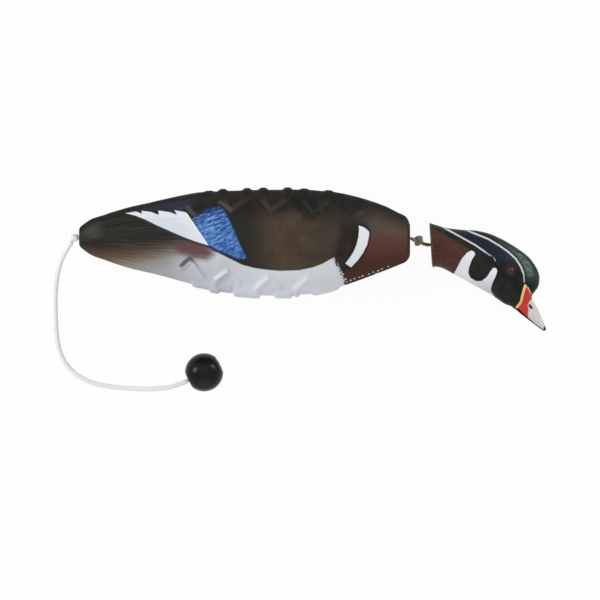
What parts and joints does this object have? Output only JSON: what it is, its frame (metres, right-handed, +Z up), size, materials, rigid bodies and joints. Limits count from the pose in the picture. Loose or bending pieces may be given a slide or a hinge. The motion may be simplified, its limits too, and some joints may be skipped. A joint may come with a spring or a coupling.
{
  "type": "duck retrieving dummy",
  "caption": "Soft foam duck-shaped retrieving dummy with wood duck plumage, a hard head swinging on a knotted neck cord, and a throw cord with a ball at the tail.",
  "frame": {"origin": "point on the floor under the thickest section of the body and under the axis of its core, with the dummy lying on its left side", "axes": "+X from tail to head, +Y from belly to back, +Z up from the floor through the right flank"},
  "size_m": [0.4943, 0.2052, 0.092],
  "materials": {
    "foam_plumage": "painted soft foam, matte, raised V grips",
    "core_plastic": "black moulded plastic",
    "washer_steel": "plain stainless washer",
    "neck_cord": "thin braided cord, grey-brown",
    "throw_cord": "white braided cord",
    "head_paint": "painted hard plastic, satin",
    "ball_black": "black satin plastic"
  },
  "bodies": {
    "duck_body": {"foam_body": "foam_plumage", "core_tube": "core_plastic", "breast_bush": "core_plastic", "breast_washer": "washer_steel", "breast_anchor_knot": "neck_cord", "neck_cord_root": "neck_cord", "tail_bush": "core_plastic", "tail_washer": "washer_steel", "tail_anchor_knot": "throw_cord", "tail_cord_root": "throw_cord"},
    "neck_strand": {"neck_cord_rear": "neck_cord"},
    "neck_link": {"neck_knot": "neck_cord", "neck_cord_front": "neck_cord"},
    "head_cord": {"head_cord_end": "neck_cord", "head_washer": "washer_steel", "head_anchor_knot": "neck_cord"},
    "head": {"neck_plate": "head_paint", "head_shell_left": "head_paint", "head_shell_right": "head_paint"},
    "tail_link": {"tail_knot": "throw_cord"},
    "throw_line": {"throw_cord": "throw_cord", "ball_cord_end": "throw_cord", "ball_stop_knot": "throw_cord"},
    "ball": {"throw_ball": "ball_black"}
  },
  "joints": [
    {"name": "neck_nod", "type": "hinge", "parent": "duck_body", "child": "neck_strand", "pos_m": [0.13903, 0, 0.046], "axis": [0, 0, 1], "range_deg": [-32, 25]},
    {"name": "neck_sway", "type": "hinge", "parent": "neck_strand", "child": "neck_link", "pos_m": [0.14674, -0.00269, 0.03612], "axis": [0, 1, 0], "range_deg": [-40, 32]},
    {"name": "head_nod", "type": "hinge", "parent": "neck_link", "child": "head_cord", "pos_m": [0.15783, -0.00656, 0.0219], "axis": [0, 0, 1], "range_deg": [-30, 25]},
    {"name": "head_twist", "type": "hinge", "parent": "head_cord", "child": "head", "pos_m": [0.15883, -0.0065, 0.0219], "axis": [0.998, 0.0628, 0], "continuous": true},
    {"name": "cord_swing", "type": "hinge", "parent": "duck_body", "child": "tail_link", "pos_m": [-0.19747, 0.0005, 0.046], "axis": [0, 0, 1], "range_deg": [-60, 8]},
    {"name": "cord_lift", "type": "hinge", "parent": "tail_link", "child": "throw_line", "pos_m": [-0.19747, 0.0005, 0.046], "axis": [-1, 0, 0], "range_deg": [0, 120]},
    {"name": "ball_spin", "type": "hinge", "parent": "throw_line", "child": "ball", "pos_m": [-0.068, -0.1344, 0.0192], "axis": [0.8888, 0.4529, 0.0698], "continuous": true}
  ]
}
